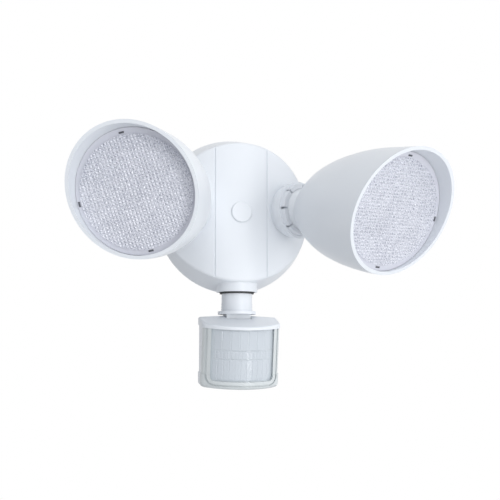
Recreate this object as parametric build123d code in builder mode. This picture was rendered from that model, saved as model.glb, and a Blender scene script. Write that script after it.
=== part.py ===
from build123d import *
from math import cos, radians, sin
import os

# Motion sensor security light on a round wall canopy, millimetres and degrees.
# The wall is the plane y = 0, the light faces -Y and +Z is up.

# Canopy: a drafted drum whose front is a gentle upright cylinder.
canopy_radius = 58.0
canopy_depth = 34.0
canopy_draft = 12.0
canopy_wall = 2.6
front_radius = 72.0
front_edge_round = 2.2
groove_x = 19.5
groove_width = 1.2
groove_depth = 0.9
gasket_thickness = 2.0
gasket_width = 6.0
gasket_inset = 0.3

# Crossbar, bolt and plug at the canopy's centre.
bar_length = 98.0
bar_width = 20.0
bar_thickness = 1.9
box_screw_pitch_small = 69.9
box_screw_pitch_large = 88.9
box_slot_width = 5.0
bolt_radius = 2.1
bolt_head_radius = 4.2
bolt_head_height = 2.6
bolt_head_round = 1.0
bolt_end_gap = 0.3
bolt_cross_length = 5.0
bolt_cross_width = 1.2
bolt_cross_depth = 1.4
bolt_seal_thickness = 1.0
bolt_seal_margin = 0.8
thread_clearance = 0.05
bolt_clearance = 0.3
well_radius = 6.25
well_depth = 8.0
well_wall = 2.2
plug_radius = 7.7
plug_height = 1.5
plug_round = 0.9
plug_skirt = 3.6
plug_skirt_wall = 1.5
plug_fit = 0.1
ground_screw_x = -17.0
ground_screw_radius = 1.8
ground_screw_end_gap = 0.2
ground_head_radius = 3.6
ground_head_height = 2.4

# Ball joints of the two lamps.
ball_x = 43.5
ball_y = -32.5
ball_z = 2.7
socket_yaw = 30.0
ball_radius = 16.0
ball_clearance = 0.3
boss_radius = 21.0
boss_mouth = 1.0
boss_hollow = 18.7
ring_bore = 18.95
ring_mouth = 4.6
ring_back = -4.3
ring_slots = 8
ring_slot_width = 1.6
ring_slot_depth = 6.0
seat_radius = 18.3
wire_hole = 6.0
wire_hole_margin = 1.5
stem_radius = 6.5
stem_bore = 3.6
stem_end = 1.0
neck_radius = 9.5
neck_length = 15.5
stem_washer_thickness = 1.4
stem_washer_radius = 12.0
turn_gap = 0.3
turn_fit = 0.08
nut_height = 5.0
nut_radius = 11.0
nut_sides = 6

# Where each lamp points: yaw from straight ahead, pitch up, roll of its visor.
lamp_aims = {
    "left": (-27.0, -2.0, -14.0),
    "right": (24.0, -6.5, -1.0),
}

# Lamp bell, heights measured along its axis from the ball's centre.
bell_wall = 2.4
bell_back_wall = 3.0
bell_back_radius = 18.5
bell_waist_height, bell_waist_radius = 40.0, 31.7
bell_shoulder_height, bell_shoulder_radius = 75.0, 41.2
bell_mouth_height, bell_mouth_radius = 104.0, 43.5
bell_back_round = 2.5
bell_back_direction = (0.55, 0.83)
visor_height = 112.0
visor_tilt = 22.0
visor_reach = 40.0
visor_depth = 9.5
lens_height = visor_height - visor_depth
lens_tilt = 15.0
lens_thickness = 3.0
lens_gap = 0.25
lens_gasket_thickness = 1.0
ledge_thickness = 2.5
ledge_width = 2.6
lens_field_radius = 38.3
lens_field_step = 0.5
clip_circle = 39.5
clip_turn = -4.0
clip_length = 3.4
clip_width = 1.1
clip_depth = 6.0
clip_lift = 0.3
clip_gap = 0.1
clip_count = 4

# Heat sink, board and light source of each lamp.
light_depth = 28.5
sink_height = lens_height - light_depth
sink_thickness = 3.0
sink_radius = 35.0
fin_count = 7
fin_pitch = 6.0
fin_thickness = 1.6
fin_depth = 15.0
fin_reach = 21.0
board_radius = 25.0
board_thickness = 1.6
chip_size = 3.5
chip_thickness = 0.9
chip_pitch = 7.0
chip_rows = 5
chip_field = 16.0
reflector_wall = 1.2
reflector_base_radius = 24.4
reflector_mouth_radius = 36.2
post_circle = 31.0
post_radius = 3.0
post_length = 26.0
post_count = 3
sink_screw_radius = 1.4
sink_screw_head_radius = 2.4
sink_screw_head_height = 1.8
sink_screw_length = 11.0

# Lamp driver in the upper half of the canopy.
driver_width = 42.0
driver_height = 18.0
driver_z = 35.0
driver_y = -12.0
driver_post_radius = 2.2
driver_post_inset = 3.0
driver_screw_radius = 1.1
driver_screw_head = 1.5
driver_screw_bite = 5.0
driver_screw_hole = 6.0
driver_corner = 1.5
coil_x, coil_width, coil_height, coil_depth, coil_corner = -6.0, 11.0, 13.0, 10.0, 1.0
capacitor_places = ((5.5, 3.0), (11.5, -2.0))
capacitor_radius, capacitor_depth = 2.6, 9.0
switcher_x, switcher_z, switcher_width, switcher_height, switcher_depth = 3.5, -4.5, 5.0, 3.0, 4.0

# Sensor neck, which turns in a collar under the canopy.
neck_y = -17.5
collar_radius = 15.2
collar_wall = 1.65
collar_bottom = -57.9
collar_top = -45.3
bush_lip = 1.3
bush_lip_inset = 2.6
sensor_neck_radius = 11.3
sensor_neck_top = -40.8
sensor_neck_wall = 3.0
sensor_neck_nut_height = 4.0
sensor_neck_nut_radius = 13.4
sensor_neck_nut_sides = 12
neck_rib_heights = (-66.9, -68.8, -70.7)
neck_rib = 0.3
neck_rib_width = 0.8
flange_radius = 14.0
flange_top = -72.1
flange_bottom = -74.3

# Tilt hinge of the sensor, and the sensor's own inclined frame there.
hinge_z = -81.7
sensor_lean = 10.0
sensor_swing = 20.0
tongue_width = 18.0
tongue_radius = 6.5
tongue_gap = 0.4
tongue_grooves = (-75.6, -76.8, -78.0)
tongue_groove_width = 0.6
tongue_groove_depth = 0.5
pin_radius = 2.0
pin_fit = 0.06
pin_length = 28.0
cheek_width = 5.0

# Sensor housing, in its inclined frame.
sensor_half_width = 28.6
sensor_front = 29.8
sensor_side_y = 17.0
sensor_corner = 6.0
sensor_height = 43.6
sensor_wall = 2.2
sensor_parting = 15.2
sensor_wall_gap = 5.5
sensor_back_crown = 14.0
band_height = 10.0
band_swell = 0.6
band_round = 3.2
roof_overhang = 0.6
roof_gap = 1.0
roof_ridge_y = -19.5
roof_eave = 2.0
roof_crown = 350.0
roof_brow = 600.0
roof_round = 1.5
window_half_width = 23.2
window_top = -4.0    # above the frame's edge, so the window is open up to the roof
window_bottom = 37.8
window_corner = 3.0
bezel_margin = 2.3
bezel_width = 1.1
bezel_depth = 0.7
fresnel_gap = 0.1
fresnel_rest = 0.2
fresnel_thickness = 1.2
sensor_board_y = -4.4
sensor_board_width = 35.6
sensor_board_top = -10.0
detector_radius = 4.6
detector_height = 4.5
detector_round = 0.6
detector_z = -20.0
photocell_radius = 2.5
photocell_height = 2.4
photocell_x = 13.0
sensor_post_x = 21.6
sensor_post_y = -9.0
sensor_post_radius = 2.9
sensor_screw_radius = 1.4
sensor_screw_head_radius = 2.8
sensor_screw_head_height = 1.2
sensor_screw_length = 10.0

# Controls under the sensor.
knob_x = 12.0
knob_y = -9.0
knob_radius = 4.4
knob_gap = 0.35
knob_reach = 1.0
knob_slot_width = 1.2
knob_slot_depth = 1.0
knob_slot_margin = 0.8
knob_stem_radius = 1.5
knob_stem_length = 3.0
pot_size = 9.0
pot_height = 5.0
switch_y = -9.0
switch_width = 2.6
switch_travel = 4.0
switch_gap = 0.35
switch_plate_overlap = 1.35
switch_plate_thickness = 1.2

lamp_sides = {"left": -1, "right": 1}


def save(piece, name):
    piece.label = name
    export_step(piece, f"parts/{name}.step")


def section(frame):
    """The plane of a frame's x and z axes, to draw a profile to revolve."""
    return Plane(origin=frame.origin, x_dir=frame.x_dir, z_dir=-frame.y_dir)


def axis_of(frame):
    return Axis(frame.origin, frame.z_dir)


def tilted(frame, height, angle):
    """A plane across a frame's axis that rises along its x axis."""
    along = frame.x_dir * cos(radians(angle)) + frame.z_dir * sin(radians(angle))
    normal = frame.z_dir * cos(radians(angle)) - frame.x_dir * sin(radians(angle))
    return Plane(origin=frame.origin + frame.z_dir * height, x_dir=along, z_dir=normal)


def ball_centre(side):
    return Vector(lamp_sides[side] * ball_x, ball_y, ball_z)


def socket_frame(side):
    outward = Vector(0, -1, 0).rotate(Axis.Z, lamp_sides[side] * socket_yaw)
    return Plane(origin=ball_centre(side), x_dir=(0, 0, 1), z_dir=outward)


def lamp_frame(side):
    """Frame of a lamp: z along its axis, x to the long side of its visor."""
    yaw, pitch, roll = lamp_aims[side]
    forward = Vector(0, -1, 0).rotate(Axis.X, -pitch).rotate(Axis.Z, yaw)
    upright = Vector(sin(radians(roll)), 0, cos(radians(roll)))
    brow = upright.rotate(Axis.X, -pitch).rotate(Axis.Z, yaw)
    return Plane(origin=ball_centre(side), x_dir=brow, z_dir=forward)


def tube(frame, low, high, outer, inner=0.0):
    with BuildPart() as piece:
        with BuildSketch(frame.offset(low)):
            Circle(outer)
            if inner > 0:
                Circle(inner, mode=Mode.SUBTRACT)
        extrude(amount=high - low)
    return piece.part


# ---------------------------------------------------------------- canopy

def drum(inset, back):
    """The canopy's form, drawn in by a wall on its side and front."""
    reach = canopy_depth + canopy_wall
    with BuildPart() as form:
        with BuildSketch(Plane.XZ.offset(back)):
            Circle(canopy_radius - inset)
        extrude(amount=reach, taper=canopy_draft)
        with BuildSketch(Plane.XY.offset(-canopy_radius)):
            with Locations((0, front_radius - canopy_depth)):
                Circle(front_radius - inset)
        extrude(amount=2 * canopy_radius, mode=Mode.INTERSECT)
    return form.part


def driver_posts():
    """Places of the driver board's four posts, in the plane of the wall."""
    post_x = driver_width / 2 - driver_post_inset
    post_z = driver_height / 2 - driver_post_inset
    return [(sx * post_x, driver_z + sz * post_z) for sx in (-1, 1) for sz in (-1, 1)]


def make_canopy_housing():
    front = Plane.XZ.offset(canopy_depth)
    neck = Plane(origin=(0, neck_y, 0))
    with BuildPart() as housing:
        add(drum(0, gasket_thickness))
        fillet(housing.faces().sort_by(Axis.Y)[0].edges(), front_edge_round)
        with BuildSketch(front):
            for edge_x in (-groove_x, groove_x):
                with Locations((edge_x, 0)):
                    Rectangle(groove_width, 2 * canopy_radius)
        groove_drop = front_radius - (front_radius**2 - groove_x**2) ** 0.5
        extrude(amount=-(groove_drop + groove_depth), mode=Mode.SUBTRACT)
        add(drum(canopy_wall, 0), mode=Mode.SUBTRACT)
        with BuildSketch(front.offset(-canopy_wall / 2)):
            Circle(well_radius + well_wall)
        extrude(amount=canopy_wall / 2 - well_depth - well_wall)
        with BuildSketch(Plane.XZ.offset(-driver_y)):
            with Locations(*driver_posts()):
                Circle(driver_post_radius)
        extrude(until=Until.NEXT)
        for side in lamp_sides:
            add(ball_part(side, boss_radius, boss_mouth))
        add(tube(neck, collar_bottom, collar_top, collar_radius))
        for side in lamp_sides:
            frame = socket_frame(side)
            add(ball_part(side, boss_hollow, boss_mouth), mode=Mode.SUBTRACT)
            add(tube(frame, ring_back, boss_mouth, ring_bore), mode=Mode.SUBTRACT)
            add(tube(frame, -boss_radius, 0, wire_hole + wire_hole_margin), mode=Mode.SUBTRACT)
        add(tube(neck, collar_bottom, collar_top, collar_radius - collar_wall), mode=Mode.SUBTRACT)
        with BuildSketch(front):
            Circle(well_radius)
        extrude(amount=-well_depth, mode=Mode.SUBTRACT)
        with BuildSketch(front):
            Circle(bolt_radius + bolt_clearance)
        extrude(amount=-canopy_depth, mode=Mode.SUBTRACT)
        with BuildSketch(Plane.XZ.offset(-driver_y)):
            with Locations(*driver_posts()):
                Circle(driver_screw_radius + thread_clearance)
        extrude(amount=driver_screw_hole, mode=Mode.SUBTRACT)
    save(housing.part, "canopy_housing")


def ball_part(side, radius, mouth):
    """A ball about a lamp's joint, cut off level at the socket's mouth."""
    frame = socket_frame(side)
    with BuildPart() as part_ball:
        with BuildSketch(section(frame)):
            Circle(radius)
            with Locations((-radius, 0)):
                Rectangle(2 * radius, 3 * radius, mode=Mode.SUBTRACT)
            with Locations((0, mouth + radius)):
                Rectangle(4 * radius, 2 * radius, mode=Mode.SUBTRACT)
        revolve(axis=axis_of(frame))
    return part_ball.part


def make_canopy_gasket():
    with BuildPart() as gasket:
        with BuildSketch(Plane.XZ):
            Circle(canopy_radius - gasket_inset)
            Circle(canopy_radius - gasket_width, mode=Mode.SUBTRACT)
        extrude(amount=gasket_thickness)
    save(gasket.part, "canopy_gasket")


def make_crossbar():
    slot_length = (box_screw_pitch_large - box_screw_pitch_small) / 2
    slot_pitch = (box_screw_pitch_large + box_screw_pitch_small) / 2
    with BuildPart() as bar:
        with BuildSketch(Plane.XZ):
            SlotOverall(bar_length, bar_width)
            with GridLocations(slot_pitch, 0, 2, 1):
                SlotCenterToCenter(slot_length, box_slot_width, mode=Mode.SUBTRACT)
            Circle(bolt_radius + thread_clearance, mode=Mode.SUBTRACT)
            with Locations((ground_screw_x, 0)):
                Circle(ground_screw_radius + thread_clearance, mode=Mode.SUBTRACT)
        extrude(amount=bar_thickness)
    save(bar.part, "mounting_crossbar")


def make_centre_fixing():
    floor = canopy_depth - well_depth
    head_back = floor + bolt_seal_thickness
    with BuildPart() as seal:
        with BuildSketch(Plane.XZ.offset(floor)):
            Circle(bolt_head_radius + bolt_seal_margin)
            Circle(bolt_radius + thread_clearance, mode=Mode.SUBTRACT)
        extrude(amount=bolt_seal_thickness)
    save(seal.part, "bolt_seal")

    with BuildPart() as bolt:
        with BuildSketch(Plane.XZ.offset(bolt_end_gap)):
            Circle(bolt_radius)
        extrude(amount=head_back - bolt_end_gap)
        with BuildSketch(Plane.XZ.offset(head_back)):
            Circle(bolt_head_radius)
        extrude(amount=bolt_head_height)
        fillet(bolt.faces().sort_by(Axis.Y)[0].edges(), bolt_head_round)
        with BuildSketch(Plane.XZ.offset(head_back + bolt_head_height)):
            Rectangle(bolt_cross_width, bolt_cross_length)
            Rectangle(bolt_cross_length, bolt_cross_width)
        extrude(amount=-bolt_cross_depth, mode=Mode.SUBTRACT)
    save(bolt.part, "mounting_bolt")

    with BuildPart() as plug:
        with BuildSketch(Plane.XZ.offset(canopy_depth)):
            Circle(plug_radius)
        extrude(amount=plug_height)
        fillet(plug.faces().sort_by(Axis.Y)[0].edges(), plug_round)
        with BuildSketch(Plane.XZ.offset(canopy_depth)):
            Circle(well_radius - plug_fit)
            Circle(well_radius - plug_fit - plug_skirt_wall, mode=Mode.SUBTRACT)
        extrude(amount=-plug_skirt)
    save(plug.part, "centre_plug")

    with BuildPart() as ground:
        with BuildSketch(Plane.XZ.offset(bar_thickness)):
            RegularPolygon(ground_head_radius, nut_sides)
        extrude(amount=ground_head_height)
        with BuildSketch(Plane.XZ.offset(bar_thickness)):
            Circle(ground_screw_radius)
        extrude(amount=ground_screw_end_gap - bar_thickness)
    save(ground.part.moved(Location((ground_screw_x, 0, 0))), "ground_screw")


def make_driver():
    with BuildPart() as board:
        with BuildSketch(Plane.XZ.offset(-driver_y)):
            with Locations((0, driver_z)):
                RectangleRounded(driver_width, driver_height, driver_corner)
            with Locations(*driver_posts()):
                Circle(driver_screw_radius + thread_clearance, mode=Mode.SUBTRACT)
        extrude(amount=-board_thickness)
    save(board.part, "driver_board")

    face = Plane.XZ.offset(-driver_y)
    with BuildPart() as components:
        with BuildSketch(face):
            with Locations((coil_x, driver_z)):
                RectangleRounded(coil_width, coil_height, coil_corner)
        extrude(amount=coil_depth)
        with BuildSketch(face):
            with Locations(*[(x, driver_z + z) for x, z in capacitor_places]):
                Circle(capacitor_radius)
        extrude(amount=capacitor_depth)
        with BuildSketch(face):
            with Locations((switcher_x, driver_z + switcher_z)):
                Rectangle(switcher_width, switcher_height)
        extrude(amount=switcher_depth)
    save(components.part, "driver_components")

    with BuildPart() as screws:
        with BuildSketch(face.offset(-board_thickness)):
            with Locations(*driver_posts()):
                Circle(2 * driver_screw_radius)
        extrude(amount=-driver_screw_head)
        with BuildSketch(face.offset(-board_thickness)):
            with Locations(*driver_posts()):
                Circle(driver_screw_radius)
        extrude(amount=board_thickness + driver_screw_bite)
    save(screws.part, "driver_screws")


# ---------------------------------------------------------------- lamp joints

def make_socket(side):
    """Slotted ring that grips the ball, and the cup that turns behind it."""
    frame = socket_frame(side)
    hollow = ball_radius + ball_clearance
    ring_radius = ring_bore - thread_clearance
    with BuildPart() as ring:
        add(tube(frame, ring_back, ring_mouth, ring_radius))
        add(ball_part(side, hollow, ring_mouth), mode=Mode.SUBTRACT)
        with BuildSketch(frame.offset(ring_mouth)):
            with PolarLocations((ring_radius + hollow) / 2, ring_slots):
                Rectangle(ring_radius - hollow + 2 * ring_slot_width, ring_slot_width)
        extrude(amount=-ring_slot_depth, mode=Mode.SUBTRACT)
    save(ring.part, f"lamp_socket_ring_{side}")

    seat_front = ring_back - ball_clearance
    with BuildPart() as seat:
        add(ball_part(side, seat_radius, seat_front))
        add(ball_part(side, hollow, ring_mouth), mode=Mode.SUBTRACT)
        add(tube(frame, -boss_radius, seat_front, wire_hole), mode=Mode.SUBTRACT)
    save(seat.part, f"lamp_ball_seat_{side}")


def bell_back():
    """Height of the back face of a lamp's bell."""
    return neck_length + stem_washer_thickness + turn_gap


def make_knuckle(side):
    """Ball with its hollow stem, the washer and the nut that hold the lamp on it."""
    frame = lamp_frame(side)
    washer_top = neck_length + stem_washer_thickness
    nut_low = bell_back() + bell_back_wall + turn_gap
    stem_length = nut_low + nut_height + stem_end
    with BuildPart() as knuckle:
        with BuildSketch(section(frame)):
            Circle(ball_radius)
            with Locations((neck_radius / 2, neck_length / 2)):
                Rectangle(neck_radius, neck_length)
            with Locations((stem_radius / 2, stem_length / 2)):
                Rectangle(stem_radius, stem_length)
            with Locations((-ball_radius, 0)):
                Rectangle(2 * ball_radius, 6 * ball_radius, mode=Mode.SUBTRACT)
            Rectangle(2 * stem_bore, 6 * ball_radius, mode=Mode.SUBTRACT)
        revolve(axis=axis_of(frame))
    save(knuckle.part, f"lamp_knuckle_{side}")

    washer = tube(frame, neck_length, washer_top, stem_washer_radius, stem_radius + thread_clearance)
    save(washer, f"lamp_stem_washer_{side}")

    with BuildPart() as nut:
        with BuildSketch(frame.offset(nut_low)):
            RegularPolygon(nut_radius, nut_sides)
            Circle(stem_radius + thread_clearance, mode=Mode.SUBTRACT)
        extrude(amount=nut_height)
    save(nut.part, f"lamp_stem_nut_{side}")


# ---------------------------------------------------------------- lamps

def bell(frame, inset, back):
    """A lamp's bell as a solid, drawn in by a wall, running on past its visor."""
    top = visor_height + visor_reach
    with BuildPart() as form:
        with BuildSketch(section(frame)):
            with BuildLine():
                side = Spline(
                    (bell_back_radius - inset, bell_back()),
                    (bell_waist_radius - inset, bell_waist_height),
                    (bell_shoulder_radius - inset, bell_shoulder_height),
                    (bell_mouth_radius - inset, bell_mouth_height),
                    tangents=(bell_back_direction, (0, 1)),
                )
                Polyline(side @ 1, (bell_mouth_radius - inset, top), (0, top), (0, bell_back()), side @ 0)
            make_face()
        revolve(axis=axis_of(frame))
        if back > bell_back():
            split(bisect_by=frame.offset(back), keep=Keep.TOP)
    return form.part


def lens_plane(frame):
    """Front face of a lamp's lens."""
    return tilted(frame, lens_height, lens_tilt)


def slab(frame, inset, low, high):
    """A slice of the bell's inside between two planes along the lens."""
    with BuildPart() as slice_:
        add(bell(frame, inset, bell_back()))
        split(bisect_by=lens_plane(frame).offset(low), keep=Keep.TOP)
        split(bisect_by=lens_plane(frame).offset(high), keep=Keep.BOTTOM)
    return slice_.part


def make_lamp_housing(side):
    frame = lamp_frame(side)
    ledge = -lens_thickness - lens_gasket_thickness
    with BuildPart() as rear_cavity:
        add(bell(frame, bell_wall, bell_back() + bell_back_wall))
        split(bisect_by=lens_plane(frame).offset(ledge - ledge_thickness), keep=Keep.BOTTOM)
    with BuildPart() as front_cavity:
        add(bell(frame, bell_wall, bell_back()))
        split(bisect_by=lens_plane(frame).offset(ledge), keep=Keep.TOP)
    with BuildPart() as housing:
        add(bell(frame, 0, bell_back()))
        fillet(housing.edges().sort_by(axis_of(frame))[0], bell_back_round)
        split(bisect_by=tilted(frame, visor_height, visor_tilt), keep=Keep.BOTTOM)
        add(rear_cavity.part, mode=Mode.SUBTRACT)
        add(front_cavity.part, mode=Mode.SUBTRACT)
        add(tube(frame, sink_height, visor_height, bell_mouth_radius - bell_wall - ledge_width),
            mode=Mode.SUBTRACT)
        add(tube(frame, bell_back(), sink_height, stem_radius + turn_fit), mode=Mode.SUBTRACT)
        with BuildSketch(frame.offset(sink_height - post_length)):
            with PolarLocations(post_circle, post_count):
                Circle(post_radius)
        extrude(amount=post_length)
        with BuildSketch(frame.offset(sink_height)):
            with PolarLocations(post_circle, post_count):
                Circle(sink_screw_radius + thread_clearance)
        extrude(amount=-sink_screw_length, mode=Mode.SUBTRACT)
        add(clip_blocks(frame, clip_gap), mode=Mode.SUBTRACT)
    save(housing.part, f"lamp_housing_{side}")


def clip_blocks(frame, gap):
    """Four spring clips that go through the lens into the ledge behind it."""
    with BuildPart() as clips:
        with BuildSketch(lens_plane(frame).offset(clip_lift)):
            with PolarLocations(clip_circle, clip_count, start_angle=clip_turn):
                Rectangle(clip_width + gap, clip_length + gap)
        extrude(amount=-clip_depth)
    return clips.part


def make_lens(side):
    frame = lamp_frame(side)
    inset = bell_wall + lens_gap
    opening = bell_mouth_radius - bell_wall - ledge_width
    with BuildPart() as lens:
        add(slab(frame, inset, -lens_thickness, 0))
        with BuildSketch(lens_plane(frame)):
            Circle(lens_field_radius)
        extrude(amount=lens_field_step)
        with BuildSketch(lens_plane(frame).offset(-lens_thickness)):
            Circle(lens_field_radius)
        extrude(amount=lens_thickness / 2, mode=Mode.SUBTRACT)
        add(clip_blocks(frame, clip_gap), mode=Mode.SUBTRACT)
    save(lens.part, f"lamp_lens_{side}")

    with BuildPart() as gasket:
        add(slab(frame, inset, -lens_thickness - lens_gasket_thickness, -lens_thickness))
        add(tube(frame, sink_height, visor_height, opening), mode=Mode.SUBTRACT)
        add(clip_blocks(frame, clip_gap), mode=Mode.SUBTRACT)
    save(gasket.part, f"lens_gasket_{side}")

    save(clip_blocks(frame, 0), f"lens_clips_{side}")


def make_light_source(side):
    frame = lamp_frame(side)
    sink_face = sink_height + sink_thickness
    board_face = sink_face + board_thickness
    with BuildPart() as sink:
        with BuildSketch(frame.offset(sink_height)):
            Circle(sink_radius)
            with PolarLocations(post_circle, post_count):
                Circle(sink_screw_radius + thread_clearance, mode=Mode.SUBTRACT)
        extrude(amount=sink_thickness)
        with BuildSketch(frame.offset(sink_height)):
            with GridLocations(0, fin_pitch, 1, fin_count):
                Rectangle(2 * fin_reach, fin_thickness)
        extrude(amount=-fin_depth)
    save(sink.part, f"heat_sink_{side}")

    save(tube(frame, sink_face, board_face, board_radius), f"led_board_{side}")

    with BuildPart() as chips:
        with BuildSketch(frame.offset(board_face)):
            with GridLocations(chip_pitch, chip_pitch, chip_rows, chip_rows) as places:
                inside = [p for p in places.local_locations if p.position.length < chip_field]
            with Locations(*inside):
                Rectangle(chip_size, chip_size)
        extrude(amount=chip_thickness)
    save(chips.part, f"led_chips_{side}")

    mouth = lens_plane(frame).offset(-lens_thickness - lens_gasket_thickness - ledge_thickness)
    with BuildPart() as reflector:
        with BuildSketch(frame.offset(board_face)):
            Circle(reflector_base_radius)
        with BuildSketch(mouth):
            Circle(reflector_mouth_radius)
        loft()
        with BuildSketch(frame.offset(board_face)):
            Circle(reflector_base_radius - reflector_wall)
        with BuildSketch(mouth):
            Circle(reflector_mouth_radius - reflector_wall)
        loft(mode=Mode.SUBTRACT)
    save(reflector.part, f"reflector_{side}")

    with BuildPart() as screws:
        with BuildSketch(frame.offset(sink_face)):
            with PolarLocations(post_circle, post_count):
                Circle(sink_screw_head_radius)
        extrude(amount=sink_screw_head_height)
        with BuildSketch(frame.offset(sink_face)):
            with PolarLocations(post_circle, post_count):
                Circle(sink_screw_radius)
        extrude(amount=-sink_screw_length)
    save(screws.part, f"heat_sink_screws_{side}")


# ---------------------------------------------------------------- sensor neck

neck_frame = Plane(origin=(0, neck_y, 0))
sensor_frame = Plane(
    origin=(0, neck_y, hinge_z),
    x_dir=(1, 0, 0),
    z_dir=(0, -sin(radians(sensor_lean)), cos(radians(sensor_lean))),
)


def hinge_plane(length):
    """Plane across the tilt hinge, from which a length centred on the hinge is extruded."""
    return Plane(origin=(-length / 2, neck_y, hinge_z), x_dir=(0, 1, 0), z_dir=(1, 0, 0))


def make_sensor_neck():
    bush_outer = collar_radius - collar_wall - thread_clearance
    with BuildPart() as bush:
        add(tube(neck_frame, collar_bottom, collar_top, bush_outer))
        add(tube(neck_frame, collar_bottom - bush_lip, collar_bottom, collar_radius - bush_lip_inset))
        add(tube(neck_frame, collar_bottom - bush_lip, collar_top, sensor_neck_radius + turn_fit),
            mode=Mode.SUBTRACT)
    save(bush.part, "sensor_collar_bush")

    with BuildPart() as neck:
        add(tube(neck_frame, flange_bottom, sensor_neck_top, sensor_neck_radius))
        for rib_z in neck_rib_heights:
            add(tube(neck_frame, rib_z - neck_rib_width / 2, rib_z + neck_rib_width / 2,
                     sensor_neck_radius + neck_rib))
        add(tube(neck_frame, flange_bottom, flange_top, flange_radius))
        add(tube(neck_frame, flange_top, sensor_neck_top, sensor_neck_radius - sensor_neck_wall),
            mode=Mode.SUBTRACT)
        with BuildSketch(hinge_plane(tongue_width)):
            Circle(tongue_radius)
            with Locations((0, (flange_bottom - hinge_z) / 2)):
                Rectangle(2 * tongue_radius, flange_bottom - hinge_z)
            Circle(pin_radius + pin_fit, mode=Mode.SUBTRACT)
        extrude(amount=tongue_width)
        with BuildSketch(Plane.XZ.offset(tongue_radius - neck_y)):
            for groove_z in tongue_grooves:
                with Locations((0, groove_z)):
                    Rectangle(tongue_width, tongue_groove_width)
        extrude(amount=-tongue_groove_depth, mode=Mode.SUBTRACT)
    save(neck.part, "sensor_neck")

    with BuildPart() as nut:
        with BuildSketch(neck_frame.offset(collar_top + turn_gap)):
            RegularPolygon(sensor_neck_nut_radius, sensor_neck_nut_sides)
            Circle(sensor_neck_radius + thread_clearance, mode=Mode.SUBTRACT)
        extrude(amount=sensor_neck_nut_height)
    save(nut.part, "sensor_neck_nut")

    with BuildPart() as pin:
        with BuildSketch(hinge_plane(pin_length)):
            Circle(pin_radius)
        extrude(amount=pin_length)
    save(pin.part, "sensor_hinge_pin")


# ---------------------------------------------------------------- sensor

def sensor_block(low, high, inset=0.0):
    """The sensor's plan from one height to another: bowed front, crowned back."""
    half = sensor_half_width - inset
    gap = sensor_wall_gap + inset
    with BuildPart() as block:
        with BuildSketch(sensor_frame.offset(low)) as plan:
            with BuildLine():
                corner = (half, -sensor_side_y)
                bow = ThreePointArc((-half, -sensor_side_y), (0, inset - sensor_front), corner)
                Polyline(bow @ 1, (half, sensor_front), (-half, sensor_front), bow @ 0)
            make_face()
            fillet(plan.vertices().sort_by(Axis.Y)[:2], sensor_corner - inset)
        extrude(amount=high - low)
        with BuildSketch(Plane.XY.offset(hinge_z - 2 * sensor_height)):
            with BuildLine():
                crown = ThreePointArc(
                    (-half, -gap - sensor_back_crown), (0, -gap), (half, -gap - sensor_back_crown)
                )
                Polyline(crown @ 1, (half, -3 * sensor_front), (-half, -3 * sensor_front), crown @ 0)
            make_face()
        extrude(amount=4 * sensor_height, mode=Mode.INTERSECT)
    return block.part


def roof_form(low, inset):
    """The roof's solid: arched under the neck's flange, then falling to its eave."""
    top = flange_bottom - roof_gap - inset
    eave = sensor_frame.origin - sensor_frame.y_dir * (sensor_front + roof_overhang)
    eave = eave + sensor_frame.z_dir * (roof_eave - inset)
    ridge = Vector(0, roof_ridge_y, top)
    fall = ridge - Vector(0, eave.Y, eave.Z)
    with BuildPart() as form:
        add(sensor_block(low, sensor_height, inset - roof_overhang))
        for direction, radius in ((Vector(0, 1, 0), roof_crown), (fall, roof_brow)):
            with BuildSketch(Plane(origin=ridge, x_dir=(1, 0, 0), z_dir=direction)):
                with Locations((0, radius)):
                    Circle(radius)
            extrude(amount=2 * sensor_height, both=True, mode=Mode.INTERSECT)
    return form.part


def hinge_block(low, inset):
    """Block that hangs from the roof on both sides of the neck's tongue."""
    cheek = tongue_width / 2 + tongue_gap + cheek_width
    front, back = tongue_slot()
    with BuildPart() as block:
        with BuildSketch(Plane.XY.offset(tongue_low())):
            with Locations((0, neck_y + (back - front) / 2)):
                Rectangle(2 * cheek, front + back + 2 * sensor_wall)
        extrude(amount=flange_bottom - tongue_low())
        add(roof_form(low, inset), mode=Mode.INTERSECT)
    return block.part


def tongue_slot():
    """How far the slot for the tongue runs in front of and behind the neck's axis."""
    back = tongue_radius + tongue_gap
    return back + (flange_bottom - hinge_z) * sin(radians(sensor_swing)), back


def tongue_low():
    return hinge_z - tongue_radius - tongue_gap


def sensor_posts(low, high, radius):
    """Cylinders at the sensor's two screw posts, between two heights."""
    with BuildPart() as posts:
        with BuildSketch(sensor_frame.offset(low)):
            with Locations((-sensor_post_x, sensor_post_y), (sensor_post_x, sensor_post_y)):
                Circle(radius)
        extrude(amount=high - low)
    return posts.part


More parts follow.
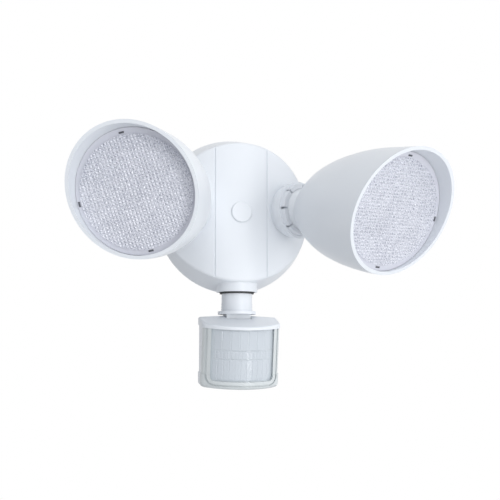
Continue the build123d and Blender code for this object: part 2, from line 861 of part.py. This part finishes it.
def make_sensor_roof():
    front, back = tongue_slot()
    with BuildPart() as posts:
        add(sensor_posts(sensor_wall - sensor_height, sensor_height, sensor_post_radius))
        add(roof_form(-sensor_height, sensor_wall + roof_overhang + turn_gap), mode=Mode.INTERSECT)
        add(sensor_posts(0, sensor_height, sensor_post_radius))
        add(roof_form(-sensor_height, sensor_wall / 2), mode=Mode.INTERSECT)
    with BuildPart() as roof:
        add(roof_form(0, 0))
        fillet(roof.edges().filter_by(lambda edge: is_roof_rim(edge)), roof_round)
        add(roof_form(-sensor_wall, sensor_wall), mode=Mode.SUBTRACT)
        add(hinge_block(-sensor_height, sensor_wall + roof_overhang + turn_gap))
        add(hinge_block(0, sensor_wall / 2))
        add(posts.part)
        with BuildSketch(Plane.XY.offset(tongue_low())):
            with Locations((0, neck_y + (back - front) / 2)):
                Rectangle(tongue_width + 2 * tongue_gap, front + back)
        extrude(amount=flange_bottom - tongue_low(), mode=Mode.SUBTRACT)
        with BuildSketch(hinge_plane(pin_length)):
            Circle(pin_radius + thread_clearance)
        extrude(amount=pin_length, mode=Mode.SUBTRACT)
        add(sensor_posts(-sensor_height, sensor_screw_length - sensor_height,
                         sensor_screw_radius + thread_clearance), mode=Mode.SUBTRACT)
    save(roof.part, "sensor_roof")


def is_roof_rim(edge):
    """Whether an edge runs round the top of the roof's sides."""
    height = sensor_frame.to_local_coords(edge @ 0.5).Z
    across = abs((edge @ 0.5).X) < roof_round and edge.length > sensor_half_width
    ridge = across and abs((edge @ 0.5).Y - roof_ridge_y) < roof_round
    return height > roof_round / 2 and not ridge and abs((edge % 0.5).dot(sensor_frame.z_dir)) < 0.7


def front_plane():
    """The plane that parts the sensor's front frame from its body."""
    return Plane(
        origin=sensor_frame.origin - sensor_frame.y_dir * sensor_parting,
        x_dir=(1, 0, 0),
        z_dir=sensor_frame.y_dir,
    )


def sensor_shell():
    """The sensor's hollow case under its roof, with a swelling band at its foot."""
    foot = Axis(sensor_frame.origin, sensor_frame.z_dir)
    with BuildPart() as shell:
        add(sensor_block(-sensor_height, 0))
        add(sensor_block(-sensor_height, band_height - sensor_height, -band_swell))
        fillet(shell.faces().sort_by(foot)[0].edges(), band_round)
        add(sensor_block(sensor_wall - sensor_height, sensor_wall, sensor_wall), mode=Mode.SUBTRACT)
    return shell.part


def make_sensor_body():
    with BuildPart() as body:
        add(sensor_shell())
        split(bisect_by=front_plane(), keep=Keep.TOP)
        with BuildSketch(sensor_frame.offset(-sensor_height)):
            with Locations((-sensor_post_x, sensor_post_y), (sensor_post_x, sensor_post_y)):
                Circle(sensor_screw_radius + thread_clearance)
            with Locations((-knob_x, knob_y), (knob_x, knob_y)):
                Circle(knob_radius + knob_gap)
            with Locations((0, switch_y)):
                Rectangle(switch_width + 2 * switch_gap + switch_travel, switch_width + 2 * switch_gap)
        extrude(amount=sensor_wall, mode=Mode.SUBTRACT)
    save(body.part, "sensor_body")


def bezel_groove():
    """A groove in the frame's face, down both sides of the window and across its foot."""
    outside = bezel_margin + bezel_width
    with BuildPart() as groove:
        with BuildSketch(front_plane()):
            with Locations((0, window_bottom - sensor_height)):
                RectangleRounded(2 * (window_half_width + outside), 2 * (sensor_height + outside),
                                 window_corner + outside)
                RectangleRounded(2 * (window_half_width + bezel_margin), 2 * (sensor_height + bezel_margin),
                                 window_corner + bezel_margin, mode=Mode.SUBTRACT)
        extrude(amount=-2 * sensor_front)
        add(sensor_block(-sensor_height, 0, bezel_depth), mode=Mode.SUBTRACT)
    return groove.part


def make_sensor_front():
    window_height = window_bottom - window_top
    with BuildPart() as frame:
        add(sensor_shell())
        split(bisect_by=front_plane(), keep=Keep.BOTTOM)
        with BuildSketch(front_plane()):
            with Locations((0, (window_top + window_bottom) / 2)):
                RectangleRounded(2 * window_half_width, window_height, window_corner)
        extrude(amount=-sensor_front, mode=Mode.SUBTRACT)
        add(bezel_groove(), mode=Mode.SUBTRACT)
    save(frame.part, "sensor_window_frame")

    outer = sensor_wall + fresnel_gap
    with BuildPart() as fresnel:
        add(sensor_block(sensor_wall + fresnel_rest - sensor_height, -fresnel_rest, outer))
        add(sensor_block(-sensor_height, sensor_wall, outer + fresnel_thickness), mode=Mode.SUBTRACT)
        split(bisect_by=front_plane().offset(-2 * turn_gap), keep=Keep.BOTTOM)
    save(fresnel.part, "fresnel_lens")


def make_sensor_inside():
    floor = sensor_wall - sensor_height
    board_plane = Plane(
        origin=sensor_frame.origin + sensor_frame.y_dir * sensor_board_y,
        x_dir=(1, 0, 0),
        z_dir=-sensor_frame.y_dir,
    )
    board_height = sensor_board_top - floor
    with BuildPart() as board:
        with BuildSketch(board_plane):
            with Locations((0, (sensor_board_top + floor) / 2)):
                Rectangle(sensor_board_width, board_height)
        extrude(amount=-board_thickness)
    save(board.part, "sensor_board")

    with BuildPart() as detector:
        with BuildSketch(board_plane):
            with Locations((0, detector_z)):
                Circle(detector_radius)
        extrude(amount=detector_height)
        fillet(detector.faces().sort_by(axis_of(board_plane))[-1].edges(), detector_round)
    save(detector.part, "infrared_detector")

    with BuildPart() as photocell:
        with BuildSketch(board_plane):
            with Locations((photocell_x, detector_z)):
                Circle(photocell_radius)
        extrude(amount=photocell_height)
    save(photocell.part, "photocell")

    with BuildPart() as pots:
        with BuildSketch(sensor_frame.offset(floor + 2 * knob_gap)):
            with Locations((-knob_x, knob_y), (knob_x, knob_y)):
                Rectangle(pot_size, 2 * (sensor_board_y - knob_y))
                Circle(knob_stem_radius + knob_gap, mode=Mode.SUBTRACT)
        extrude(amount=pot_height)
    save(pots.part, "potentiometers")

    with BuildPart() as screws:
        foot = -sensor_height
        add(sensor_posts(foot - sensor_screw_head_height, foot, sensor_screw_head_radius))
        add(sensor_posts(foot, foot + sensor_screw_length - turn_gap, sensor_screw_radius))
    save(screws.part, "sensor_screws")


def make_knob(name, centre_x):
    under = sensor_frame.offset(-sensor_height - knob_reach)
    spot = Plane(
        origin=under.origin + sensor_frame.x_dir * centre_x + sensor_frame.y_dir * knob_y,
        x_dir=sensor_frame.x_dir,
        z_dir=sensor_frame.z_dir,
    )
    with BuildPart() as knob:
        with BuildSketch(spot):
            Circle(knob_radius)
        extrude(amount=knob_reach + sensor_wall)
        with BuildSketch(spot.offset(knob_reach + sensor_wall)):
            Circle(knob_stem_radius)
        extrude(amount=knob_stem_length)
        with BuildSketch(spot):
            Rectangle(knob_slot_width, 2 * (knob_radius - knob_slot_margin))
        extrude(amount=knob_slot_depth, mode=Mode.SUBTRACT)
    save(knob.part, name)


def make_mode_switch():
    with BuildPart() as slider:
        with BuildSketch(sensor_frame.offset(-sensor_height - knob_reach)):
            with Locations((-switch_travel / 2, switch_y)):
                Rectangle(switch_width, switch_width)
        extrude(amount=knob_reach + sensor_wall + switch_gap)
        with BuildSketch(sensor_frame.offset(sensor_wall - sensor_height + switch_gap)):
            with Locations((-switch_travel / 2, switch_y)):
                Rectangle(switch_width + 2 * switch_plate_overlap, switch_width + 4 * switch_gap)
        extrude(amount=switch_plate_thickness)
    save(slider.part, "mode_switch")


os.makedirs("parts", exist_ok=True)
make_canopy_housing()
make_canopy_gasket()
make_crossbar()
make_centre_fixing()
make_driver()
for lamp_side in lamp_sides:
    make_socket(lamp_side)
    make_knuckle(lamp_side)
    make_lamp_housing(lamp_side)
    make_lens(lamp_side)
    make_light_source(lamp_side)
make_sensor_neck()
make_sensor_roof()
make_sensor_body()
make_sensor_front()
make_sensor_inside()
make_knob("time_knob", -knob_x)
make_knob("range_knob", knob_x)
make_mode_switch()
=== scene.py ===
from math import cos, pi, radians, sin

import bpy
from mathutils import Matrix, Vector


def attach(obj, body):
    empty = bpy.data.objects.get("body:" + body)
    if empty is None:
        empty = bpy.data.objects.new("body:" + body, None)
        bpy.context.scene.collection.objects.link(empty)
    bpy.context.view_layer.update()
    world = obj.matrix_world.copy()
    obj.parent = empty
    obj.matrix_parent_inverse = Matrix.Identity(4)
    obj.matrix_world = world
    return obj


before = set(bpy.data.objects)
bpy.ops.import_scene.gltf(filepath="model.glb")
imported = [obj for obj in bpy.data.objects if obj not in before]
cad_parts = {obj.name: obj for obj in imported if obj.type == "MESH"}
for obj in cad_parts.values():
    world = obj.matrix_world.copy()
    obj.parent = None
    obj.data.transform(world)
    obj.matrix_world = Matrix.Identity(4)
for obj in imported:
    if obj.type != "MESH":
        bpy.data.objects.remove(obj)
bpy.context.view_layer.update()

scene = bpy.context.scene
mm = 0.001
print("frame loaded, building the light's looks")


# ---- camera, stage and lamps of the studio

photoFocal = 1274           # pixels
photoWidth = 500            # pixels
filmWidth = 36
cameraSettings = {
    "azimuth": -12.96,
    "elevation": -5.63,
    "distance": 965 * mm,
    "across": 13.68 * mm,
    "rise": -24.6 * mm,
    "focal": photoFocal / photoWidth * filmWidth,
    "clipStart": 0.01,
}


def makeCamera():
    c = cameraSettings
    a = radians(c["azimuth"])
    e = radians(c["elevation"])
    look = Vector((-sin(a) * cos(e), cos(a) * cos(e), -sin(e)))
    right = Vector((cos(a), sin(a), 0))
    up = right.cross(look)
    place = right * c["across"] + up * c["rise"] - look * c["distance"]
    data = bpy.data.cameras.new("photoCamera")
    data.lens = c["focal"]
    data.sensor_width = filmWidth
    data.clip_start = c["clipStart"]
    camera = bpy.data.objects.new("photoCamera", data)
    scene.collection.objects.link(camera)
    camera.matrix_world = Matrix.Translation(place) @ Matrix((right, up, -look)).transposed().to_4x4()
    scene.camera = camera


studio = {
    "lamps": {
        "keyLight": {"place": (-0.55, -1.35, 1.25), "size": (1.1, 1.1), "power": 9.0},
        "frontLight": {"place": (0.25, -1.7, 0.05), "size": (1.2, 1.2), "power": 5.6},
        "fillLight": {"place": (1.4, -0.6, 0.25), "size": (1.2, 1.2), "power": 5.0},
        "stripLight": {"place": (0.55, -1.22, -0.12), "size": (0.3, 0.75), "power": 3.8},
        "topLight": {"place": (0.1, -0.2, 1.5), "size": (0.9, 0.9), "power": 3.0},
    },
    "aim": (0, -0.06, -0.02),
    "worldColour": (0.93, 0.95, 1.0),       # as it lights the part
    "worldStrength": 0.42,
    "seenColour": (1.0, 1.0, 1.0),          # as the camera and reflections see it
    "seenStrength": 1.0,
    "floorLevel": -0.5,
    "floorSize": 2.6,
    "floorColour": (0.88, 0.885, 0.89),
    "floorShade": (0.86, 0.865, 0.87),
    "floorRough": 0.7,
}


def addSoftbox(name, place, size, power):
    data = bpy.data.lights.new(name, "AREA")
    data.shape = "RECTANGLE"
    data.size, data.size_y = size
    data.energy = power
    lamp = bpy.data.objects.new(name, data)
    lamp.location = place
    lamp.rotation_euler = (Vector(studio["aim"]) - Vector(place)).to_track_quat("-Z", "Y").to_euler()
    scene.collection.objects.link(lamp)


# sockets of the mix node when it mixes colours
mixFactor = 0
mixFirst = 6
mixSecond = 7
mixResult = 2
noiseMiddle = 0.5


# a socket that plain Python sums can be written with
class Wire:
    def __init__(self, tree, socket):
        self.tree = tree
        self.socket = socket

    def make(self, kind, values, settings=None, output=0):
        node = self.tree.nodes.new(kind)
        for name, value in (settings or {}).items():
            setattr(node, name, value)
        for name, value in values.items():
            self.plug(node.inputs[name], value)
        return Wire(self.tree, node.outputs[output] if node.outputs else None)

    def plug(self, inlet, value):
        if isinstance(value, Wire):
            self.tree.links.new(value.socket, inlet)
        elif inlet.type == "RGBA" and len(value) == 3:
            inlet.default_value = (*value, 1)
        else:
            inlet.default_value = value

    def math(self, operation, first, second):
        return self.make("ShaderNodeMath", {0: first, 1: second}, {"operation": operation})

    def __add__(self, other):
        return self.math("ADD", self, other)

    def __radd__(self, other):
        return self.math("ADD", other, self)

    def __sub__(self, other):
        return self.math("SUBTRACT", self, other)

    def __mul__(self, other):
        return self.math("MULTIPLY", self, other)

    def __lt__(self, other):
        return self.math("LESS_THAN", self, other)

    def swing(self, amount):
        return (self - noiseMiddle) * amount

    def clamped(self, low, high):
        return self.make("ShaderNodeClamp", {"Value": self, "Min": low, "Max": high})

    def blend(self, first, second):
        values = {mixFactor: self, mixFirst: first, mixSecond: second}
        return self.make("ShaderNodeMix", values, {"data_type": "RGBA"}, mixResult)

    def noise(self, scale, detail=2.0, roughness=0.5):
        values = {"Vector": self, "Scale": scale, "Detail": detail, "Roughness": roughness}
        return self.make("ShaderNodeTexNoise", values)


def startMaterial(name):
    material = bpy.data.materials.new(name)
    material.use_nodes = True
    tree = material.node_tree
    tree.nodes.clear()
    place = Wire(tree, None).make("ShaderNodeTexCoord", {}, output="Object")
    return material, place


def endMaterial(material, place, base, roughness, bump=None, bumpDepth=0.0, **fixed):
    values = {"Base Color": base, "Roughness": roughness}
    for name, value in fixed.items():
        values[name.replace("_", " ")] = value
    if bump is not None:
        relief = {"Height": bump, "Distance": bumpDepth, "Strength": 1.0}
        values["Normal"] = place.make("ShaderNodeBump", relief)
    shader = place.make("ShaderNodeBsdfPrincipled", values)
    place.make("ShaderNodeOutputMaterial", {"Surface": shader})
    return material


# moulded plastic: a slight cloud in the colour, a fine speck in gloss and relief
def moulded(name, colour, shade, rough, grain=0.012, grainSize=1500, coat=0.0):
    material, place = startMaterial(name)
    cloud = place.noise(scale=38, detail=3)
    speck = place.noise(scale=grainSize)
    base = cloud.clamped(low=0.3, high=0.7).blend(colour, shade)
    roughness = rough + cloud.swing(0.10) + speck.swing(0.08)
    return endMaterial(material, place, base, roughness, bump=speck, bumpDepth=grain * mm, Coat_Weight=coat)


# metal with fine marks drawn out along one direction
def drawnMetal(name, colour, shade, rough, stretch, marks=0.01, metallic=1.0):
    material, place = startMaterial(name)
    drawn = place.make("ShaderNodeMapping", {"Vector": place, "Scale": stretch})
    streak = drawn.noise(scale=900, detail=3, roughness=0.6)
    dull = place.noise(scale=120)
    base = streak.clamped(low=0.2, high=0.8).blend(colour, shade)
    roughness = rough + streak.swing(0.18) + dull.swing(0.12)
    return endMaterial(material, place, base, roughness, bump=streak, bumpDepth=marks * mm, Metallic=metallic)


# circuit board: solder mask with tracks running under it
def circuitBoard(name, mask, track, islands, trackShare, rough, trackRise):
    material, place = startMaterial(name)
    settings = {"feature": "DISTANCE_TO_EDGE", "distance": "EUCLIDEAN"}
    cells = place.make("ShaderNodeTexVoronoi", {"Vector": place, "Scale": islands}, settings, "Distance")
    tracks = cells < trackShare
    base = tracks.blend(mask, track)
    roughness = rough + place.noise(scale=300) * 0.12
    return endMaterial(material, place, base, roughness, bump=tracks, bumpDepth=trackRise * mm)


# clear plastic with a faint haze, seen through by its alpha
def clearPlastic(name, colour, haze, rough, cover, coverSwing):
    material, place = startMaterial(name)
    cloud = place.noise(scale=60, detail=3)
    fine = place.noise(scale=700)
    base = cloud.clamped(low=0.35, high=0.65).blend(colour, haze)
    roughness = rough + fine.swing(0.05)
    alpha = cover + cloud.swing(coverSwing)
    return endMaterial(material, place, base, roughness, bump=fine, bumpDepth=0.004 * mm, Alpha=alpha,
                       Coat_Weight=0.4)


# clear moulded prisms, whose facets catch the light here and there: painted glints and painted dark facets in
# the base colour
def sparklingPrisms(name, bright, dull, rough, cover, brightShare, contrast):
    material, place = startMaterial(name)
    glint = place.noise(scale=1150, detail=3, roughness=0.7)
    cloud = place.noise(scale=60, detail=3)
    # the base colour speckles between a painted glint and a painted dark facet, a painted sparkle of light
    # and shade
    light = glint.swing(contrast) + brightShare + cloud.swing(0.5)
    base = light.clamped(low=0.0, high=1.0).blend(dull, bright)
    roughness = rough + glint * 0.1
    alpha = cover + cloud.swing(0.12)
    return endMaterial(material, place, base, roughness, bump=glint, bumpDepth=0.16 * mm, Alpha=alpha,
                       Coat_Weight=0.1)


# light emitting chips: yellow phosphor
def phosphorChips(name, colour, shade, rough):
    material, place = startMaterial(name)
    speck = place.noise(scale=2600)
    base = speck.clamped(low=0.3, high=0.7).blend(colour, shade)
    return endMaterial(material, place, base, rough + speck.swing(0.2), bump=speck, bumpDepth=0.02 * mm)


finishes = {}


def addFinish(name, make, **recipe):
    finishes[name] = make(name, **recipe)


addFinish("whitePlastic", moulded, colour=(0.80, 0.833, 0.872), shade=(0.775, 0.808, 0.848), rough=0.36)
addFinish("frameGrey", moulded, colour=(0.66, 0.70, 0.71), shade=(0.62, 0.66, 0.67), rough=0.22,
          grain=0.006, grainSize=1100, coat=0.6)
addFinish("whiteNylon", moulded, colour=(0.79, 0.82, 0.86), shade=(0.76, 0.79, 0.835), rough=0.44,
          grain=0.01, grainSize=1100)
addFinish("greyPlastic", moulded, colour=(0.36, 0.37, 0.38), shade=(0.32, 0.33, 0.34), rough=0.42)
addFinish("darkClip", moulded, colour=(0.10, 0.105, 0.12), shade=(0.07, 0.075, 0.09), rough=0.35)
addFinish("blackParts", moulded, colour=(0.035, 0.035, 0.04), shade=(0.05, 0.05, 0.055), rough=0.35,
          grain=0.02, grainSize=900)
addFinish("darkRubber", moulded, colour=(0.045, 0.045, 0.048), shade=(0.065, 0.065, 0.068), rough=0.72,
          grain=0.03, grainSize=800)
addFinish("foamRubber", moulded, colour=(0.09, 0.09, 0.095), shade=(0.05, 0.05, 0.053), rough=0.88,
          grain=0.12, grainSize=1400)
addFinish("boardWhite", moulded, colour=(0.78, 0.78, 0.75), shade=(0.72, 0.72, 0.70), rough=0.3,
          grain=0.004, grainSize=700)
addFinish("zincSteel", drawnMetal, colour=(0.62, 0.62, 0.60), shade=(0.50, 0.51, 0.50), rough=0.34,
          stretch=(1, 1, 6))
addFinish("bareAluminium", drawnMetal, colour=(0.74, 0.75, 0.77), shade=(0.62, 0.63, 0.66), rough=0.38,
          stretch=(6, 1, 1))
addFinish("silvered", drawnMetal, colour=(0.88, 0.885, 0.90), shade=(0.80, 0.81, 0.83), rough=0.22,
          stretch=(1, 1, 1), marks=0.004)
addFinish("canMetal", drawnMetal, colour=(0.70, 0.70, 0.69), shade=(0.60, 0.60, 0.60), rough=0.25,
          stretch=(1, 1, 3), marks=0.003)
addFinish("greenPaint", drawnMetal, colour=(0.04, 0.28, 0.09), shade=(0.03, 0.20, 0.07), rough=0.4,
          stretch=(1, 1, 2), marks=0.01, metallic=0.6)
addFinish("greenBoard", circuitBoard, mask=(0.02, 0.13, 0.06), track=(0.04, 0.22, 0.10), islands=260.0,
          trackShare=0.06, rough=0.32, trackRise=0.02)
addFinish("phosphor", phosphorChips, colour=(0.86, 0.66, 0.22), shade=(0.92, 0.76, 0.34), rough=0.42)
addFinish("lensBase", clearPlastic, colour=(0.74, 0.75, 0.82), haze=(0.68, 0.69, 0.76), rough=0.16,
          cover=0.93, coverSwing=0.08)
# lens prisms: a painted glint colour and a painted dark facet colour
addFinish("lensPrisms", sparklingPrisms, bright=(0.88, 0.895, 0.96), dull=(0.38, 0.40, 0.48), rough=0.12,
          cover=0.88, brightShare=0.56, contrast=5.0)
addFinish("milkyFilm", clearPlastic, colour=(0.66, 0.71, 0.75), haze=(0.61, 0.66, 0.70), rough=0.2,
          cover=0.9, coverSwing=0.08)
addFinish("filmCells", clearPlastic, colour=(0.68, 0.73, 0.78), haze=(0.62, 0.67, 0.72), rough=0.14,
          cover=0.88, coverSwing=0.08)
addFinish("photoGlass", clearPlastic, colour=(0.55, 0.30, 0.20), haze=(0.45, 0.24, 0.16), rough=0.12,
          cover=0.9, coverSwing=0.05)
print("materials ready:", len(finishes))


# ---- what each carried over piece is made of

# the sensor collar bush is a real rubber part; its dark lip at the collar's mouth is also painted shade for
# the shadow gap there
nodeFinish = {
    "canopy_housing": "whitePlastic", "canopy_gasket": "foamRubber", "mounting_crossbar": "zincSteel",
    "bolt_seal": "darkRubber", "mounting_bolt": "zincSteel", "centre_plug": "whitePlastic",
    "ground_screw": "greenPaint", "driver_board": "greenBoard", "driver_components": "blackParts",
    "driver_screws": "zincSteel", "sensor_collar_bush": "darkRubber", "sensor_neck": "whitePlastic",
    "sensor_neck_nut": "whiteNylon", "sensor_roof": "whitePlastic", "sensor_body": "whitePlastic",
    "sensor_window_frame": "frameGrey", "fresnel_lens": "milkyFilm", "sensor_board": "greenBoard",
    "infrared_detector": "canMetal", "photocell": "photoGlass", "potentiometers": "blackParts",
    "sensor_screws": "zincSteel", "sensor_hinge_pin": "zincSteel", "time_knob": "greyPlastic",
    "range_knob": "greyPlastic", "mode_switch": "greyPlastic",
}
lampFinish = {
    "lamp_socket_ring": "whiteNylon", "lamp_ball_seat": "whiteNylon", "lamp_knuckle": "whitePlastic",
    "lamp_stem_washer": "darkRubber", "lamp_stem_nut": "whiteNylon", "lamp_housing": "whitePlastic",
    "lamp_lens": "lensBase", "lens_gasket": "darkRubber", "lens_clips": "darkClip",
    "heat_sink": "bareAluminium", "heat_sink_screws": "zincSteel", "led_board": "boardWhite",
    "led_chips": "phosphor", "reflector": "silvered",
}


def dressNodes():
    wanted = dict(nodeFinish)
    for side in ("left", "right"):
        wanted.update({f"{name}_{side}": finish for name, finish in lampFinish.items()})
    for name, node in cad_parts.items():
        node.data.materials.clear()
        node.data.materials.append(finishes[wanted[name]])
    print("carried over pieces dressed:", len(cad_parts))


# ---- modelling helpers

def letGo():
    bpy.ops.object.select_all(action="DESELECT")


def pickOnly(piece):
    letGo()
    piece.select_set(True)
    bpy.context.view_layer.objects.active = piece


def pickFaces(piece, wanted):
    bpy.ops.object.mode_set(mode="EDIT")
    bpy.ops.mesh.select_mode(type="FACE")
    bpy.ops.mesh.select_all(action="DESELECT")
    bpy.ops.object.mode_set(mode="OBJECT")
    for face in piece.data.polygons:
        face.select = wanted(face)
    bpy.ops.object.mode_set(mode="EDIT")


def applyModifier(piece, kind, **settings):
    pickOnly(piece)
    modifier = piece.modifiers.new(kind.title(), kind)
    for name, value in settings.items():
        setattr(modifier, name, value)
    bpy.ops.object.modifier_apply(modifier=modifier.name)


def setDown(piece, place):
    piece.matrix_world = place
    pickOnly(piece)
    bpy.ops.object.transform_apply(location=True, rotation=True, scale=True)


def finishPiece(piece, name, body, finish):
    piece.name = name
    piece.data.name = name
    piece.data.materials.clear()
    piece.data.materials.append(finishes[finish])
    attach(piece, body)
    print("piece done:", name, len(piece.data.polygons), "faces")


# ---- where the lamps and the sensor stand

lampPlaces = {
    "left": {"ball": (-43.5 * mm, -32.5 * mm, 2.7 * mm), "yaw": -27.0, "pitch": -2.0, "roll": -14.0},
    "right": {"ball": (43.5 * mm, -32.5 * mm, 2.7 * mm), "yaw": 24.0, "pitch": -6.5, "roll": -1.0},
}


# a lamp's own axes: z out along the lamp, x to the long side of its visor
def lampMatrix(side):
    place = lampPlaces[side]
    turn = Matrix.Rotation(radians(place["yaw"]), 4, "Z") @ Matrix.Rotation(radians(-place["pitch"]), 4, "X")
    roll = radians(place["roll"])
    out = turn @ Vector((0, -1, 0))
    brow = turn @ Vector((sin(roll), 0, cos(roll)))
    return Matrix.Translation(place["ball"]) @ Matrix((brow, out.cross(brow), out)).transposed().to_4x4()


sensorPlace = {"hinge": (0, -17.5 * mm, -81.7 * mm), "lean": 10.0}


def sensorMatrix():
    lean = radians(sensorPlace["lean"])
    return Matrix.Translation(sensorPlace["hinge"]) @ Matrix.Rotation(lean, 4, "X")


# ---- prism field moulded into the front of each lens

prismLens = {
    "height": 102.5 * mm,       # of the lens front along the lamp's axis
    "tilt": 15.0,
    "turn": 45.0,               # of the grid, so that its rows run aslant
    "low": 0.1 * mm,            # sunk into the lens's raised field
    "high": 0.5 * mm,
    "pitch": 2.3 * mm,
    "prismRise": 0.75 * mm,
    "count": 34,
    "radius": 37.9 * mm,
    "cutterSides": 96,
    "cutterDepth": 20 * mm,
}


def makePrismField(side):
    p = prismLens
    letGo()
    bpy.ops.mesh.primitive_grid_add(x_subdivisions=p["count"], y_subdivisions=p["count"],
                                    size=p["count"] * p["pitch"], location=(0, 0, p["low"]),
                                    rotation=(0, 0, radians(p["turn"])))
    field = bpy.context.object
    bpy.ops.object.mode_set(mode="EDIT")
    bpy.ops.mesh.select_all(action="SELECT")
    bpy.ops.mesh.extrude_region_move(TRANSFORM_OT_translate={"value": (0, 0, p["high"] - p["low"])})
    bpy.ops.mesh.poke(offset=p["prismRise"])
    bpy.ops.mesh.select_all(action="SELECT")
    bpy.ops.mesh.normals_make_consistent(inside=False)
    bpy.ops.object.mode_set(mode="OBJECT")
    letGo()
    bpy.ops.mesh.primitive_cylinder_add(vertices=p["cutterSides"], radius=p["radius"],
                                        depth=p["cutterDepth"])
    cutter = bpy.context.object
    applyModifier(field, "BOOLEAN", operation="INTERSECT", object=cutter, solver="EXACT")
    pickOnly(cutter)
    bpy.ops.object.delete()
    tilt = Matrix.Translation((0, 0, p["height"])) @ Matrix.Rotation(radians(-p["tilt"]), 4, "Y")
    setDown(field, lampMatrix(side) @ tilt)
    finishPiece(field, f"prismField_{side}", f"lamp_{side}", "lensPrisms")


# ---- facets of the sensor's segmented lens, in three tiers

segmentLens = {
    "radius": 36.36 * mm,        # of the film's curve in plan
    "axisBehind": 8.55 * mm,     # how far behind the hinge that curve's centre lies
    "halfAngle": 38.5,
    "tiers": (                  # heights in mm, cells in the whole circle, turn in cells
        {"top": -1.0, "bottom": -15.4, "cells": 36, "turn": 0.5},
        {"top": -15.9, "bottom": -21.6, "cells": 84, "turn": 0.5},
        {"top": -22.1, "bottom": -37.3, "cells": 54, "turn": 0.0},
    ),
    "rim": 0.22 * mm,
    "rise": 0.16 * mm,
    "wall": 0.18 * mm,
}


def makeSegmentLens():
    p = segmentLens
    strips = []
    for tier in p["tiers"]:
        letGo()
        turn = -pi / 2 + tier["turn"] * 2 * pi / tier["cells"]
        height = (tier["top"] - tier["bottom"]) * mm
        middle = (tier["top"] + tier["bottom"]) / 2 * mm
        bpy.ops.mesh.primitive_cylinder_add(
            vertices=tier["cells"], radius=p["radius"], end_fill_type="NOTHING", depth=height,
            location=(0, p["axisBehind"], middle), rotation=(0, 0, turn))
        strip = bpy.context.object
        bpy.ops.object.transform_apply(location=True, rotation=True, scale=True)
        front = sin(radians(p["halfAngle"])) * p["radius"]
        pickFaces(strip, lambda face: abs(face.center.x) > front or face.center.y > 0)
        bpy.ops.mesh.delete(type="FACE")
        bpy.ops.mesh.select_all(action="SELECT")
        bpy.ops.mesh.normals_make_consistent(inside=False)
        bpy.ops.mesh.inset(thickness=p["rim"], depth=0, use_individual=True)
        bpy.ops.mesh.inset(thickness=p["rim"], depth=p["rise"], use_individual=True)
        bpy.ops.object.mode_set(mode="OBJECT")
        strips.append(strip)
    pickOnly(strips[0])
    for strip in strips:
        strip.select_set(True)
    bpy.ops.object.join()
    lens = strips[0]
    applyModifier(lens, "SOLIDIFY", thickness=p["wall"], offset=-1)
    setDown(lens, sensorMatrix())
    finishPiece(lens, "segmentFacets", "sensor", "filmCells")


# ---- stage

def makeFloor():
    letGo()
    bpy.ops.mesh.primitive_plane_add(size=studio["floorSize"], location=(0, 0, studio["floorLevel"]))
    floor = bpy.context.object
    floor.name = "studioFloor"
    material, place = startMaterial("studioFloor")
    cloud = place.noise(scale=3)
    base = cloud.blend(studio["floorColour"], studio["floorShade"])
    floor.data.materials.append(endMaterial(material, place, base, studio["floorRough"] + cloud.swing(0.1)))


# the air is plain white to the camera and dimmer as a source of light
def makeAir():
    world = bpy.data.worlds.new("studioAir")
    scene.world = world
    world.use_nodes = True
    tree = world.node_tree
    tree.nodes.clear()
    path = tree.nodes.new("ShaderNodeLightPath")
    seen = Wire(tree, path.outputs["Is Camera Ray"])
    for ray in ("Is Glossy Ray", "Is Transmission Ray"):
        seen = seen + Wire(tree, path.outputs[ray])
    seen = seen.clamped(low=0.0, high=1.0)
    colour = seen.blend(studio["worldColour"], studio["seenColour"])
    strength = studio["worldStrength"] + seen * (studio["seenStrength"] - studio["worldStrength"])
    back = seen.make("ShaderNodeBackground", {"Color": colour, "Strength": strength})
    seen.make("ShaderNodeOutputWorld", {"Surface": back})


def makeStage():
    makeFloor()
    for name, lamp in studio["lamps"].items():
        addSoftbox(name, **lamp)
    makeAir()
    scene.view_settings.view_transform = "Standard"
    print("stage ready")


makeCamera()
makeStage()
dressNodes()
for side in lampPlaces:
    makePrismField(side)
makeSegmentLens()
